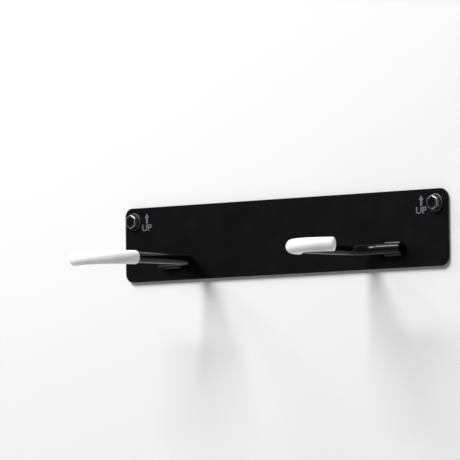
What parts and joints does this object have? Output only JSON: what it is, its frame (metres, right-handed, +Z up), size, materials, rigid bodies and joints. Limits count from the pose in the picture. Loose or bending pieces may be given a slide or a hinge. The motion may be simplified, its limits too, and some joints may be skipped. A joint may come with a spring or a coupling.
{
  "type": "bicycle wall rack",
  "caption": "Flat steel wall plate with a pair of sleeved C-shaped hooks that hold a bicycle off the wall.",
  "frame": {"origin": "middle of the wall plate's back face, where it lies on the wall", "axes": "+X along the plate to a viewer's right, +Y into the wall, +Z up; the hooks stand out along -Y"},
  "size_m": [0.433, 0.1972, 0.076],
  "materials": {
    "plate_coat": "satin black powder coat with a very fine grain",
    "rod_coat": "semi-gloss black coat",
    "weld_coat": "rippled weld bead under the black coat",
    "sleeve_vinyl": "soft white vinyl with a satin sheen",
    "screw_black": "black oxide with bright worn edges",
    "washer_black": "black zinc, satin",
    "print_grey": "blue-grey printed ink"
  },
  "bodies": {
    "root": {"wall_plate": "plate_coat", "left_hook_rod": "rod_coat", "right_hook_rod": "rod_coat", "left_upper_weld": "weld_coat", "left_lower_weld": "weld_coat", "right_upper_weld": "weld_coat", "right_lower_weld": "weld_coat", "left_hook_sleeve": "sleeve_vinyl", "right_hook_sleeve": "sleeve_vinyl", "left_washer": "washer_black", "right_washer": "washer_black", "left_lag_screw": "screw_black", "right_lag_screw": "screw_black"}
  },
  "joints": []
}
